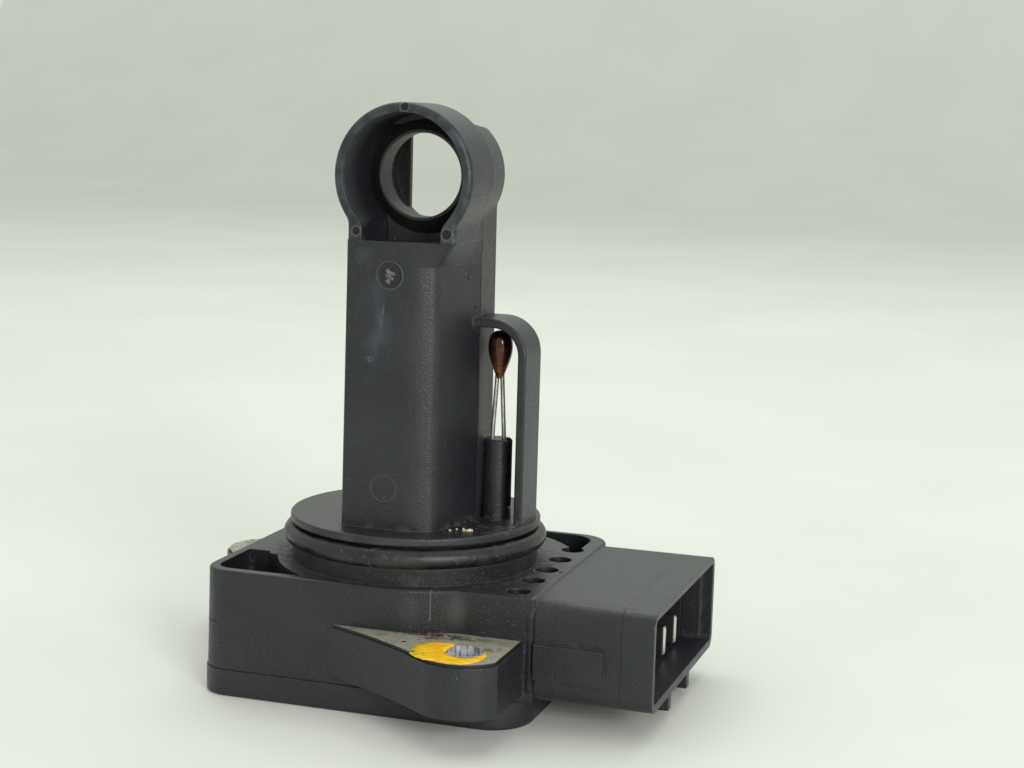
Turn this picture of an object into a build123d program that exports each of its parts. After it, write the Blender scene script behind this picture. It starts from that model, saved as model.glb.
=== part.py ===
from build123d import *
import os
from math import sqrt

# Plug-in mass airflow sensor, standing on its base cover.
# +X points along the connector, +Y along the air flow, +Z up the tower.
# The origin is on the axis of the sealing spigot, in the plane of its mounting face.

# ---- electronics box ----
BOX_LEFT = -22.3          # outer face of the left wall
BOX_RIGHT = 20.8          # face that carries the connector
BOX_FRONT = -16.95        # front wall, left of the jog
BOX_FRONT_STEP = 2.3      # how far the front wall jogs back towards the connector
JOG_START = 4.6           # where the jog leaves the front wall
JOG_LENGTH = 6.4
BOX_BACK = 21.5
BOX_HEIGHT = 12.8         # mounting face down to the seam of the base cover
BOX_SPREAD = 0.16         # how far the walls widen down to the seam
BOX_CORNER = 3.5          # left corners
BOX_BACK_CORNER = 4.5     # back corner beside the connector
BOX_EDGE = 0.35           # rounding of the mounting face's rim

# ---- cavity for the electronics ----
CAVITY_WALL = 1.8
CAVITY_ROOF = 2.0
CAVITY_RIGHT_WALL = 6.4   # solid wall that the terminals run through
LEDGE_WIDTH = 1.2         # ribs that the circuit board is glued to
LEDGE_REACH = 9.0
LEDGE_PLACES = (-8.8, 13.2)

# ---- relief pockets in the mounting face ----
POCKET_DEPTH = 7.5
FRONT_POCKET_R = 17.7     # inner wall, round the spigot's axis
FRONT_POCKET_SKIN = 1.3
FRONT_POCKET_REACH = 5.4  # how far forward of the spigot's axis it starts
BACK_POCKET_R = 21.4
BACK_POCKET_SKIN = 1.1
BACK_POCKET_SIDE_SKIN = 2.1
POCKET_BOSS_R = 1.2

# ---- base cover ----
COVER_HEIGHT = 3.4
COVER_LIP = 0.15          # how far the cover stands out past the box
COVER_WALL = 2.6
COVER_FLOOR = 1.4
COVER_RIGHT = 20.0
COVER_NOSE_R = 5.2        # rounded corner under the front ear
COVER_EDGE = 0.5
SEAL_WIDTH = 1.0
SEAL_HEIGHT = 0.7
SEAL_INSET = 0.8          # from the cover's outer edge to the seal groove

# ---- spigot with the O-ring ----
SPIGOT_R = 15.85          # land that centres the sensor in its duct
GROOVE_R = 14.45          # floor of the O-ring groove
GROOVE_BOTTOM = 2.15
DISC_R = 16.1
DISC_TOP = 6.0
DISC_THICK = 1.05
RING_SECTION_R = 1.25     # O-ring section
DISC_EDGE = 0.25

# ---- tower ----
TOWER_AXIS_X = 1.65       # the flow axis lies a little off the spigot's axis
TOWER_HALF_WIDTH = 7.2
TOWER_FRONT = -11.9       # at the foot; the draft brings it back higher up
TOWER_SEAM = -1.7         # plane where the rear cover is welded on
TOWER_BACK = 4.4
TOWER_SHRINK = 0.18       # draft, from the foot up to the mouth's sill
TOWER_WALL = 1.2
SHOULDER_X = 6.3          # front corner of the slanting side, beside the thermistor
SHOULDER_Y = -10.6
SHOULDER_R = 1.8
FRONT_EDGE_R = 0.5
FLARE_HEIGHT = 3.0        # below the sill the slanting side flares out to the leg
FACE_END_X = 2.4          # where the flat front face ends
CHANNEL_FLOOR = 8.5
MOUTH_SILL = 41.6         # top edge of the front wall, the sill of the mouth
MOUTH_WIDTH = 10.2        # between the two legs under the ring

# ---- inlet ring, venturi and outlet ----
FLOW_AXIS_Z = 49.45
INLET_R = 8.95
INLET_BORE_R = 7.75
INLET_BORE_END_R = 7.45   # at the seam
INLET_FRONT = -11.55
INLET_EDGE = 0.6
RING_NECK_R = 2.0         # hollow where the ring runs into the two legs
MOUTH_NECK_R = 2.5        # where the bore runs into the mouth below it
BULKHEAD_FRONT = -3.1
VENTURI_R = 5.25
VENTURI_LIP = -5.0
VENTURI_LIP_WALL = 0.35
VENTURI_ROOT_R = 7.3
BARREL_END = -3.0         # where the full ring ends and the flat-topped outlet starts
BARREL_END_R = 8.8
OUTLET_END_R = 7.88
OUTLET_TOP = 6.5          # flat top over the flow axis, at the ring
OUTLET_END_TOP = 5.9      # and at the back
OUTLET_ROOF = 1.0
OUTLET_CROWN_R = 1.2      # rounding along the flat top
OUTLET_BORE_R = 6.6
VANE_X = -3.1             # straight edge of the half-moon vane across the outlet
VANE_THICK = 0.8
EXIT_SLOT_TOP = 43.6
DIVIDER_FOOT = 13.5       # the air turns round under the divider here
PART_GAP = 0.05
REAR_CORNER = 0.8
ARCH_GAP = 0.1            # guard arch to rear cover

# ---- thermistor ----
POST_X = 10.75
POST_Y = 0.5
POST_R = 1.85
POST_TOP = 16.35
POST_SLOT = 1.6
POST_SLOT_DEPTH = 0.9
POST_EDGE = 0.25
BEAD_R = 1.55
BEAD_TOP = 30.15
BEAD_TIP = 24.05
LEAD_R = 0.28
LEAD_SPREAD = 0.75
LEAD_TIP_SPREAD = 0.3
LEAD_DEPTH = 3.0          # how far the leads run down into the post

# ---- guard arch over the thermistor ----
GUARD_FRONT = -3.3
GUARD_WIDTH = 6.4
GUARD_OUTER_X = 15.35
GUARD_THICK = 1.1
GUARD_TOP = 31.95
GUARD_BEND_R = 4.6        # outer radius
GUARD_EDGE = 0.25

# ---- connector ----
CONN_LENGTH = 15.05
CONN_FRONT = -15.0
CONN_BACK = 17.8
CONN_TOP = -0.2
CONN_BOTTOM = -12.5
CONN_WALL = 1.35
CONN_FLOOR = 1.0
CONN_DEPTH = 11.5         # socket depth
CONN_TOP_EDGE = 2.2       # rounding along the near top edge
CONN_CORNER = 1.6
GROOVE_WIDTH = 0.35       # shadow line between box and connector
KEY_LENGTH = 8.6
KEY_TOP = -5.2
KEY_HEIGHT = 4.4
KEY_PROUD = 0.6
LEAD_IN_DEPTH = 1.5       # wider mouth of the socket
LEAD_IN_WALL = 0.9
RAIL_LENGTH = 6.0         # latch guides under the connector
RAIL_WIDTH = 1.4
RAIL_DROP = 2.6
RAIL_SPACING = 9.8
RAIL_SETBACK = 0.5

# ---- terminals ----
TERMINALS = 5
PITCH = 5.85
TERMINAL_MID_Y = 0.0
BLADE_THICK = 0.8
BLADE_HEIGHT = 3.7
BLADE_TOP = -7.3
BLADE_RECESS = 3.5        # tip behind the mouth of the connector
BLADE_INNER = 2.0         # length inside the cavity
CORE_HOLE_X = 17.9
CORE_HOLE_R = 1.5
CORE_HOLE_DEPTH = 3.4

# ---- mounting ears ----
EAR_RISE = 0.9            # underside over the box's seam
EAR_THICK = 6.25
EAR_NOSE_R = 6.0
EAR_HOLE_X = 14.5
EAR_HOLE_OUT = 6.7        # hole axis out from the wall
EAR_SIDE = 5.2            # hole axis to the flush side
EAR_TIP = 19.5            # hole axis to the tip of the tapered flank
EAR_WAIST = 10.7          # the hollow flank passes level with the hole this far along
REAR_EAR_OUT = 5.8
REAR_EAR_SIDE = 5.7
FLANGE_THICK = 1.1        # foot of the box that the base cover meets
PLATE_INSET = 0.35
PLATE_PROUD = 0.4         # metal plate over the plastic
PLATE_THICK = 1.6
BOLT_HOLE_R = 2.2
SLEEVE_R = 3.4

# ---- electronics ----
BOARD = (-12.5, 13.9, -9.6, 13.6)     # x and y limits
BOARD_THICK = 1.0
SPREADER_THICK = 1.2
SPREADER_INSET = 1.5
CHIP = (9.0, 7.0, 1.8)
CHIP_PLACE = (-3.0, 3.0)
CAPACITOR = (3.2, 1.8, 1.6)
CAPACITOR_PLACES = ((6.5, 9.5), (6.5, 6.0), (-6.0, 10.0))
PIN_SIDE = 0.8
PIN_Y = -6.3
PIN_SPACING = 2.6
HEATER_Z = 18.0
SENSE_Z = 25.0
ELEMENT_R = 0.7


def node(shape, name):
    """Write one sub-part under its node's name."""
    shape.label = name
    export_step(shape, f"parts/{name}.step")


def block(x0, x1, y0, y1, z0, z1):
    """Box between two corners."""
    return Pos((x0 + x1) / 2, (y0 + y1) / 2, (z0 + z1) / 2) * Box(x1 - x0, y1 - y0, z1 - z0)


def flow_rod(radius, start, end, end_radius=None):
    """Cylinder or cone along the flow axis, from one Y to another."""
    length = end - start
    place = Pos(TOWER_AXIS_X, (start + end) / 2, FLOW_AXIS_Z) * Rot(-90, 0, 0)
    if end_radius is None:
        return place * Cylinder(radius, length)
    return place * Cone(radius, end_radius, length)


def corners_near(shape, places, reach=0.6):
    """Vertical edges of a shape that stand near the given (x, y) places."""
    found = ShapeList()
    for edge in shape.edges().filter_by(Axis.Z):
        middle = edge.center()
        for x, y in places:
            if abs(middle.X - x) < reach and abs(middle.Y - y) < reach:
                found.append(edge)
    return found


# ---- derived places ----
box_step_front = BOX_FRONT + BOX_FRONT_STEP
box_bottom = -BOX_HEIGHT
base_bottom = box_bottom - COVER_HEIGHT
ear_bottom = box_bottom + EAR_RISE
ear_top = ear_bottom + EAR_THICK
plate_top = ear_top + PLATE_PROUD
conn_mouth = BOX_RIGHT + CONN_LENGTH
tower_left = TOWER_AXIS_X - TOWER_HALF_WIDTH
tower_right = TOWER_AXIS_X + TOWER_HALF_WIDTH
channel_left = TOWER_AXIS_X - MOUTH_WIDTH / 2
channel_right = TOWER_AXIS_X + MOUTH_WIDTH / 2
front_wall_back = TOWER_FRONT + TOWER_WALL
blade_bottom = BLADE_TOP - BLADE_HEIGHT
board_top = blade_bottom
cavity_left = BOX_LEFT + CAVITY_WALL
cavity_right = BOX_RIGHT - CAVITY_RIGHT_WALL
cavity_front = box_step_front + CAVITY_WALL
cavity_back = BOX_BACK - CAVITY_WALL
rear_hole = (BOX_LEFT - REAR_EAR_OUT, BOX_BACK - REAR_EAR_SIDE)
front_hole_y = box_step_front - EAR_HOLE_OUT
terminal_places = [TERMINAL_MID_Y + PITCH * (i - (TERMINALS - 1) / 2) for i in range(TERMINALS)]


# ---- plans that several pieces share ----
def rounded(points, radii, level):
    """Face over a polygon whose corners have their own radii."""
    face = Pos(0, 0, level) * make_face(Polyline(*points, close=True))
    for (x, y), radius in zip(points, radii):
        if radius:
            corner = face.vertices().sort_by_distance((x, y, level))[0]
            face = fillet(corner, radius)
    return face


def box_face(level, grow=0.0):
    """Plan of the box, with the jog in its front wall."""
    left, right, back = BOX_LEFT - grow, BOX_RIGHT, BOX_BACK + grow
    front, step = BOX_FRONT - grow, box_step_front - grow
    points = [(left, front), (JOG_START, front), (JOG_START + JOG_LENGTH, step),
              (right, step), (right, back), (left, back)]
    radii = [BOX_CORNER + grow, JOG_LENGTH, JOG_LENGTH, 0, BOX_BACK_CORNER, BOX_CORNER + grow]
    return rounded(points, radii, level)


def foot_face(level, grow=0.0):
    """Plan of the box's foot and of the base cover, with the round nose under the front ear."""
    left, front = BOX_LEFT - grow, BOX_FRONT - grow
    right, back = COVER_RIGHT + grow, BOX_BACK + grow
    points = [(left, front), (right, front), (right, back), (left, back)]
    radii = [BOX_CORNER + grow, COVER_NOSE_R + grow, BOX_BACK_CORNER + grow, BOX_CORNER + grow]
    return rounded(points, radii, level)


def ear_face(level, inset=0.0):
    """Teardrop plan of the front ear, reaching back into the wall."""
    nose_r = EAR_NOSE_R - inset
    side_x = EAR_HOLE_X + EAR_SIDE - inset
    side_y = front_hole_y - sqrt(nose_r ** 2 - (side_x - EAR_HOLE_X) ** 2)
    wall_y = box_step_front + 1.0
    tip = (EAR_HOLE_X - EAR_TIP + 2 * inset, BOX_FRONT)
    waist = (EAR_HOLE_X - EAR_WAIST, front_hole_y + inset)
    flank_end = (EAR_HOLE_X - 0.5 * nose_r, front_hole_y - 0.866 * nose_r)
    nose = (EAR_HOLE_X + 0.2 * nose_r, front_hole_y - 0.98 * nose_r)
    edges = [
        ThreePointArc(tip, waist, flank_end),
        ThreePointArc(flank_end, nose, (side_x, side_y)),
        Polyline((side_x, side_y), (side_x, wall_y), (tip[0], wall_y), tip),
    ]
    return Pos(0, 0, level) * make_face(edges)


def to_rear(shape):
    """Carry a piece of the front ear to the ear on the left wall."""
    turned = mirror(shape, about=Plane(origin=(0, 0, 0), z_dir=(1, -1, 0)))
    return Pos(rear_hole[0] - front_hole_y, rear_hole[1] - EAR_HOLE_X, 0) * turned


# ---- moulded housing: the box ----
def box_block():
    """Outer block of the box, its walls widening down to the seam."""
    walls = loft([box_face(box_bottom, BOX_SPREAD), box_face(0.0)])
    rim = walls.faces().sort_by(Axis.Z)[-1].edges()
    return fillet(rim, BOX_EDGE)


def front_pocket():
    """Deep relief in the front left corner, with the round boss left standing in it."""
    left, front = BOX_LEFT + FRONT_POCKET_SKIN, BOX_FRONT + FRONT_POCKET_SKIN
    pocket = block(left, 0, front, -FRONT_POCKET_REACH, -POCKET_DEPTH, 1)
    pocket -= Cylinder(FRONT_POCKET_R, 60)
    pocket = fillet(corners_near(pocket, [(left, front)]), BOX_CORNER - FRONT_POCKET_SKIN)
    boss_y = -FRONT_POCKET_REACH
    boss_x = -sqrt(FRONT_POCKET_R ** 2 - boss_y ** 2)
    return pocket - Pos(boss_x, boss_y, -POCKET_DEPTH / 2) * Cylinder(POCKET_BOSS_R, POCKET_DEPTH + 1)


def back_pocket():
    """Deep relief in the back corner beside the connector."""
    right, back = BOX_RIGHT - BACK_POCKET_SIDE_SKIN, BOX_BACK - BACK_POCKET_SKIN
    pocket = block(0, right, 0, back, -POCKET_DEPTH, 1) - Cylinder(BACK_POCKET_R, 60)
    return fillet(corners_near(pocket, [(right, back)]), BOX_BACK_CORNER - BACK_POCKET_SKIN)


def cavity():
    """Room for the electronics, open at the bottom, clear of both pockets."""
    room = block(cavity_left, cavity_right, cavity_front, cavity_back, box_bottom - 1, -CAVITY_ROOF)
    deep = 4 * BOX_HEIGHT
    front_corner = block(2 * BOX_LEFT, 0, 2 * BOX_FRONT, -FRONT_POCKET_REACH + CAVITY_WALL, -deep, 0)
    front_corner -= Cylinder(FRONT_POCKET_R - CAVITY_WALL, 3 * deep)
    back_corner = block(0, 2 * BOX_RIGHT, 0, 2 * BOX_BACK, -deep, 0)
    back_corner -= Cylinder(BACK_POCKET_R - CAVITY_WALL, 3 * deep)
    room -= front_corner
    room -= back_corner
    for y in LEDGE_PLACES:
        room -= block(-LEDGE_REACH, LEDGE_REACH, y - LEDGE_WIDTH / 2, y + LEDGE_WIDTH / 2, board_top, 0)
    return room


def ear():
    """Plastic body of the front ear; the plate lies in its top and the sleeve passes through."""
    return extrude(ear_face(ear_bottom), amount=ear_top - ear_bottom)


# ---- moulded housing: the spigot ----
def spigot():
    """Land, O-ring groove and disc that fill the hole in the duct."""
    groove_top = DISC_TOP - DISC_THICK
    land = Pos(0, 0, GROOVE_BOTTOM / 2) * Cylinder(SPIGOT_R, GROOVE_BOTTOM)
    core = Pos(0, 0, groove_top / 2) * Cylinder(GROOVE_R, groove_top)
    disc = Pos(0, 0, DISC_TOP - DISC_THICK / 2) * Cylinder(DISC_R, DISC_THICK)
    disc = fillet(disc.edges().filter_by(GeomType.CIRCLE), DISC_EDGE)
    return land + core + disc


# ---- moulded housing: the tower and the inlet ring ----
def tower_face(level, shrink=0.0, shoulder=(SHOULDER_X, SHOULDER_Y)):
    """Plan of the front shell: flat face, rounded shoulder and slanting side beside the thermistor."""
    front = TOWER_FRONT + shrink
    left, right = tower_left + shrink, tower_right - shrink
    shoulder = (shoulder[0] - shrink, shoulder[1] + shrink)
    middle = ((FACE_END_X + shoulder[0]) / 2, front + 0.25 * (shoulder[1] - front))
    edges = [
        Line((left, front), (FACE_END_X, front)),
        ThreePointArc((FACE_END_X, front), middle, shoulder),
        Polyline(shoulder, (right, TOWER_SEAM), (left, TOWER_SEAM), (left, front)),
    ]
    face = Pos(0, 0, level) * make_face(edges)
    face = fillet(face.vertices().sort_by_distance((*shoulder, level))[0], SHOULDER_R)
    return fillet(face.vertices().sort_by_distance((left, front, level))[0], FRONT_EDGE_R)


def necked(flow_y, radius, half_width, foot, neck_r, spread=0.0):
    """Section across the flow: a circle that runs down into two flat sides."""
    left, right = TOWER_AXIS_X - half_width, TOWER_AXIS_X + half_width
    neck_z = FLOW_AXIS_Z - sqrt(radius ** 2 - half_width ** 2)
    sides = Polyline((left - spread, foot), (right + spread, foot), (right, FLOW_AXIS_Z),
                     (left, FLOW_AXIS_Z), close=True)
    face = make_face(sides) + Pos(TOWER_AXIS_X, FLOW_AXIS_Z) * Circle(radius)
    necks = [face.vertices().sort_by_distance((x, neck_z, 0))[0] for x in (left, right)]
    return Plane.XZ.offset(-flow_y) * fillet(necks, neck_r)


def outlet_top(flow_y):
    """Height of the flat top, falling slightly towards the back."""
    fall = (OUTLET_TOP - OUTLET_END_TOP) * (flow_y - BARREL_END) / (TOWER_BACK - BARREL_END)
    return FLOW_AXIS_Z + OUTLET_TOP - fall


def outlet_trim(start, end, drop=0.0):
    """Block over the flat top of the outlet."""
    high = 2 * FLOW_AXIS_Z
    profile = Polyline((start, outlet_top(start) - drop), (end, outlet_top(end) - drop),
                       (end, high), (start, high), close=True)
    return extrude(Plane.YZ * make_face(profile), amount=2 * INLET_R, both=True)


def outlet_block(start, end, foot, spread=0.0):
    """Outer block of the outlet between two places along the flow, flat on top."""
    half = TOWER_HALF_WIDTH - TOWER_SHRINK
    ends = [(y, BARREL_END_R + (OUTLET_END_R - BARREL_END_R) * (y - BARREL_END) / (TOWER_BACK - BARREL_END))
            for y in (start, end)]
    body = loft([necked(y, radius, half, foot, RING_NECK_R, spread) for y, radius in ends])
    body -= outlet_trim(start, end)
    crown = [e for e in body.edges() if abs(e.length - (end - start)) < 0.1
             and abs(e.center().Z - outlet_top((start + end) / 2)) < 0.1]
    return fillet(crown, OUTLET_CROWN_R)


def front_shell():
    """Front half of the tower with the inlet ring on top of it."""
    flare_foot = MOUTH_SILL - FLARE_HEIGHT
    flared = (tower_right - FRONT_EDGE_R, TOWER_FRONT + FRONT_EDGE_R)
    shell = loft([tower_face(DISC_TOP - 0.5), tower_face(flare_foot, TOWER_SHRINK)])
    shell += loft([tower_face(flare_foot, TOWER_SHRINK), tower_face(MOUTH_SILL, TOWER_SHRINK, flared)])
    half = TOWER_HALF_WIDTH - TOWER_SHRINK
    ring = loft([necked(INLET_FRONT, INLET_R, half, MOUTH_SILL, RING_NECK_R),
                 necked(BARREL_END, BARREL_END_R, half, MOUTH_SILL, RING_NECK_R)])
    rim = [e for e in ring.faces().sort_by(Axis.Y)[0].edges() if e.center().Z > MOUTH_SILL + 0.1]
    shell += fillet(rim, INLET_EDGE)
    shell += outlet_block(BARREL_END, TOWER_SEAM, MOUTH_SILL)
    mouth = loft([necked(INLET_FRONT, INLET_BORE_R, MOUTH_WIDTH / 2, MOUTH_SILL, MOUTH_NECK_R),
                  necked(TOWER_SEAM, INLET_BORE_END_R, MOUTH_WIDTH / 2, MOUTH_SILL, MOUTH_NECK_R)])
    slope = (tower_right - SHOULDER_X) / (TOWER_SEAM - SHOULDER_Y)
    inner_shoulder = SHOULDER_X - TOWER_WALL * sqrt(1 + slope ** 2)
    turn_y = SHOULDER_Y + (channel_right - inner_shoulder) / slope
    plan = Polyline((channel_left, front_wall_back), (FACE_END_X, front_wall_back),
                    (inner_shoulder, SHOULDER_Y + 0.5 * TOWER_WALL), (channel_right, turn_y),
                    (channel_right, TOWER_SEAM), (channel_left, TOWER_SEAM), close=True)
    channel = extrude(Pos(0, 0, CHANNEL_FLOOR) * make_face(plan), amount=MOUTH_SILL - CHANNEL_FLOOR)
    return shell - channel - mouth


# ---- moulded housing: thermistor post and guard arch ----
def post():
    """Round post that the thermistor's leads come out of, with a drain slot in its side."""
    height = POST_TOP - DISC_TOP + 0.5
    body = Pos(POST_X, POST_Y, POST_TOP - height / 2) * Cylinder(POST_R, height)
    body = chamfer(body.edges().sort_by(Axis.Z)[-1], POST_EDGE)
    slot_x = POST_X + POST_R - POST_SLOT_DEPTH
    return body - block(slot_x, slot_x + POST_R, POST_Y - POST_SLOT / 2, POST_Y + POST_SLOT / 2,
                        DISC_TOP + POST_SLOT, POST_TOP + POST_R)


def guard():
    """Strap that arches from the disc over the thermistor to the tower's side."""
    inner_x = GUARD_OUTER_X - GUARD_THICK
    under = GUARD_TOP - GUARD_THICK
    inner_r = GUARD_BEND_R - GUARD_THICK
    foot = DISC_TOP - 0.5
    reach = tower_right - 1.6
    bend_x, bend_z = GUARD_OUTER_X - GUARD_BEND_R, GUARD_TOP - GUARD_BEND_R
    half = 0.7071
    edges = [
        Line((GUARD_OUTER_X, foot), (GUARD_OUTER_X, bend_z)),
        ThreePointArc((GUARD_OUTER_X, bend_z), (bend_x + half * GUARD_BEND_R, bend_z + half * GUARD_BEND_R),
                      (bend_x, GUARD_TOP)),
        Polyline((bend_x, GUARD_TOP), (reach, GUARD_TOP), (reach, under), (bend_x, under)),
        ThreePointArc((bend_x, under), (bend_x + half * inner_r, bend_z + half * inner_r), (inner_x, bend_z)),
        Polyline((inner_x, bend_z), (inner_x, foot), (GUARD_OUTER_X, foot)),
    ]
    face = Plane.XZ.offset(-GUARD_FRONT) * make_face(edges)
    strap = extrude(face, amount=-GUARD_WIDTH)
    rims = strap.faces().filter_by(Axis.Y).edges()
    strap = fillet([e for e in rims if e.center().Z > DISC_TOP and e.center().X > reach + 0.1], GUARD_EDGE)
    behind_seam = block(0, tower_right + ARCH_GAP, TOWER_SEAM, TOWER_BACK, 0, GUARD_TOP + 1)
    return strap - behind_seam


# ---- moulded housing: the connector ----
def connector():
    """Socket shroud with its key rib, latch guides and stepped mouth."""
    shroud = block(BOX_RIGHT - 0.5, conn_mouth, CONN_FRONT, CONN_BACK, CONN_BOTTOM, CONN_TOP)
    long_edges = shroud.edges().filter_by(Axis.X)
    near_top = long_edges.sort_by_distance((BOX_RIGHT, CONN_FRONT, CONN_TOP))[0]
    shroud = fillet(near_top, CONN_TOP_EDGE)
    for y, z in ((CONN_FRONT, CONN_BOTTOM), (CONN_BACK, CONN_BOTTOM), (CONN_BACK, CONN_TOP)):
        edge = shroud.edges().filter_by(Axis.X).sort_by_distance((BOX_RIGHT, y, z))[0]
        shroud = fillet(edge, CONN_CORNER)
    shroud -= block(BOX_RIGHT, BOX_RIGHT + GROOVE_WIDTH, -50, box_step_front, -50, 50)
    shroud += block(BOX_RIGHT + GROOVE_WIDTH, BOX_RIGHT + GROOVE_WIDTH + KEY_LENGTH, CONN_FRONT - KEY_PROUD,
                    CONN_FRONT + 0.5, KEY_TOP - KEY_HEIGHT, KEY_TOP)
    rail_end = conn_mouth - RAIL_SETBACK
    for side in (-1, 1):
        y = (CONN_FRONT + CONN_BACK) / 2 + side * RAIL_SPACING / 2
        shroud += block(rail_end - RAIL_LENGTH, rail_end, y - RAIL_WIDTH / 2, y + RAIL_WIDTH / 2,
                        CONN_BOTTOM - RAIL_DROP, CONN_BOTTOM + 0.5)
    return shroud


def socket():
    """Hollow of the connector: the deep socket and its wider mouth."""
    deep = block(conn_mouth - CONN_DEPTH, conn_mouth, CONN_FRONT + CONN_WALL, CONN_BACK - CONN_WALL,
                 CONN_BOTTOM + CONN_FLOOR, CONN_TOP - LEAD_IN_WALL)
    deep = fillet(deep.edges().filter_by(Axis.X), CONN_CORNER - LEAD_IN_WALL)
    wide = block(conn_mouth - LEAD_IN_DEPTH, conn_mouth, CONN_FRONT + LEAD_IN_WALL, CONN_BACK - LEAD_IN_WALL,
                 CONN_BOTTOM + CONN_FLOOR, CONN_TOP - LEAD_IN_WALL)
    return deep + fillet(wide.edges().filter_by(Axis.X), CONN_CORNER - LEAD_IN_WALL)


# ---- inserts ----
def terminal(y):
    """Blade terminal: tip in the socket, heel on the circuit board."""
    tip = conn_mouth - BLADE_RECESS
    blade = block(cavity_right - BLADE_INNER, tip, y - BLADE_THICK / 2, y + BLADE_THICK / 2,
                  blade_bottom, BLADE_TOP)
    tip_edges = blade.faces().sort_by(Axis.X)[-1].edges()
    return chamfer(tip_edges, BLADE_THICK * 0.3)


def pin(index):
    """Lead pin from the circuit board up into the bypass channel."""
    x = TOWER_AXIS_X + PIN_SPACING * (index - 1.5)
    top = SENSE_Z if index in (0, 3) else HEATER_Z
    return block(x - PIN_SIDE / 2, x + PIN_SIDE / 2, PIN_Y - PIN_SIDE / 2, PIN_Y + PIN_SIDE / 2,
                 board_top, top)


def element(z, half_length):
    """Ceramic bobbin of one sensing element, lying on top of its two pins."""
    place = Pos(TOWER_AXIS_X, PIN_Y, z + ELEMENT_R) * Rot(0, 90, 0)
    body = place * Cylinder(ELEMENT_R * 0.8, 2 * half_length)
    for side in (-1, 1):
        cap = Pos(TOWER_AXIS_X + side * half_length, PIN_Y, z + ELEMENT_R) * Rot(0, 90, 0)
        body += cap * Cylinder(ELEMENT_R, PIN_SIDE)
    return body


def lead(side):
    """Wire from the post up to the thermistor bead."""
    foot = (POST_X + side * LEAD_SPREAD, POST_Y, POST_TOP - LEAD_DEPTH)
    bend = (POST_X + side * LEAD_SPREAD, POST_Y, POST_TOP + 0.6)
    tip = (POST_X + side * LEAD_TIP_SPREAD, POST_Y, BEAD_TIP + 0.8)
    path = FilletPolyline(foot, bend, tip, radius=4 * LEAD_R)
    return sweep(Plane(origin=foot, z_dir=(0, 0, 1)) * Circle(LEAD_R), path=path)


def bead():
    """Teardrop glass bead, round at the top and drawn out round the leads."""
    centre_z = BEAD_TOP - BEAD_R * 1.15
    profile = [
        Spline((0, BEAD_TOP), (BEAD_R, centre_z), (0.42, BEAD_TIP), tangents=[(1, 0), (-0.35, -1)]),
        Polyline((0.42, BEAD_TIP), (0, BEAD_TIP), (0, BEAD_TOP)),
    ]
    face = Plane.XZ * make_face(profile)
    return Pos(POST_X, POST_Y, 0) * revolve(face, Axis.Z)


def base_cover():
    """Cover under the box, hollow above, with the groove for its seal."""
    rim = extrude(foot_face(base_bottom, BOX_SPREAD + COVER_LIP), amount=COVER_HEIGHT)
    rim = fillet(rim.faces().sort_by(Axis.Z)[0].edges(), COVER_EDGE)
    hollow = extrude(foot_face(base_bottom + COVER_FLOOR, BOX_SPREAD - COVER_WALL), amount=COVER_HEIGHT)
    return rim - hollow - seal()


def seal():
    """Seal bead in the groove of the base cover."""
    level = box_bottom - SEAL_HEIGHT
    outer = extrude(foot_face(level, -SEAL_INSET), amount=SEAL_HEIGHT)
    inner = extrude(foot_face(level, -SEAL_INSET - SEAL_WIDTH), amount=SEAL_HEIGHT)
    return outer - inner


# ---- tower pieces behind the seam ----
def venturi():
    """Bulkhead with the venturi tube, and the divider between the two bypass channels."""
    gap = PART_GAP
    plate = loft([necked(y, INLET_BORE_END_R - gap, MOUTH_WIDTH / 2 - gap, DIVIDER_FOOT, MOUTH_NECK_R)
                  for y in (BULKHEAD_FRONT, TOWER_SEAM)])
    plate += flow_rod(VENTURI_R + VENTURI_LIP_WALL, VENTURI_LIP, BULKHEAD_FRONT, VENTURI_ROOT_R)
    plate -= outlet_trim(BARREL_END, TOWER_SEAM)
    return plate - flow_rod(VENTURI_R, VENTURI_LIP, TOWER_SEAM)


def rear_cover():
    """Rear half of the tower: return channel, outlet ring and the vane across the outlet."""
    body = outlet_block(TOWER_SEAM, TOWER_BACK, DISC_TOP, TOWER_SHRINK)
    back_rim = body.faces().sort_by(Axis.Y)[-1].edges()
    back_rim = [edge for edge in back_rim if edge.center().Z > DISC_TOP + 1]
    body = fillet(back_rim, REAR_CORNER)
    body -= block(tower_left + TOWER_WALL, tower_right - TOWER_WALL, TOWER_SEAM, TOWER_BACK - TOWER_WALL,
                  CHANNEL_FLOOR, EXIT_SLOT_TOP)
    body -= flow_rod(OUTLET_BORE_R, TOWER_SEAM, TOWER_BACK) - outlet_trim(TOWER_SEAM, TOWER_BACK, OUTLET_ROOF)
    vane_side = block(tower_left, VANE_X, TOWER_SEAM, TOWER_BACK, CHANNEL_FLOOR, FLOW_AXIS_Z + OUTLET_END_TOP)
    vane = flow_rod((OUTLET_BORE_R + OUTLET_END_R) / 2, TOWER_BACK - VANE_THICK, TOWER_BACK) & vane_side
    return body + (vane - outlet_trim(TOWER_SEAM, TOWER_BACK, OUTLET_ROOF / 2))


def heat_spreader():
    """Aluminium plate glued under the circuit board."""
    x0, x1, y0, y1 = BOARD
    under = board_top - BOARD_THICK
    return block(x0 + SPREADER_INSET, x1 - SPREADER_INSET, y0 + SPREADER_INSET, y1 - SPREADER_INSET,
                 under - SPREADER_THICK, under)


def on_board(size, place):
    """Component standing on the circuit board."""
    return Pos(*place, board_top + size[2] / 2) * Box(*size)


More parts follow.
